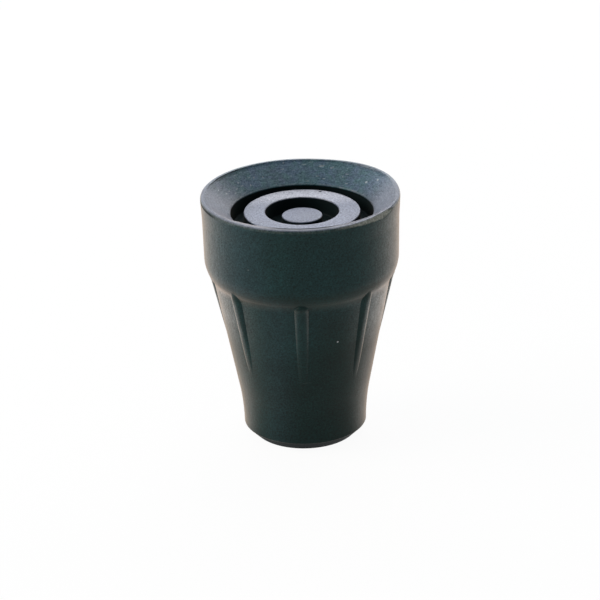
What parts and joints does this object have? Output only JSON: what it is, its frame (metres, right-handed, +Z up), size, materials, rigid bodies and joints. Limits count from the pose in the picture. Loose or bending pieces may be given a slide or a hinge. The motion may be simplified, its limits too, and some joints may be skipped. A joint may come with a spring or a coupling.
{
  "type": "rubber cane tip",
  "caption": "One-piece rubber tip for a cane: a blind socket grips the shaft, a ribbed neck widens to a round foot with a dished, grooved tread.",
  "frame": {"origin": "centre of the mouth face of the socket, on the surface the tip stands on with its tread facing up", "axes": "+Z up the axis of the socket, from the mouth to the rim of the tread, which is the end that meets the ground in use; -Y towards the front rib"},
  "size_m": [0.04, 0.04, 0.0516],
  "materials": {
    "rubber": "matt, faintly blooming"
  },
  "bodies": {
    "root": {"rubber_tip": "rubber"}
  },
  "joints": []
}
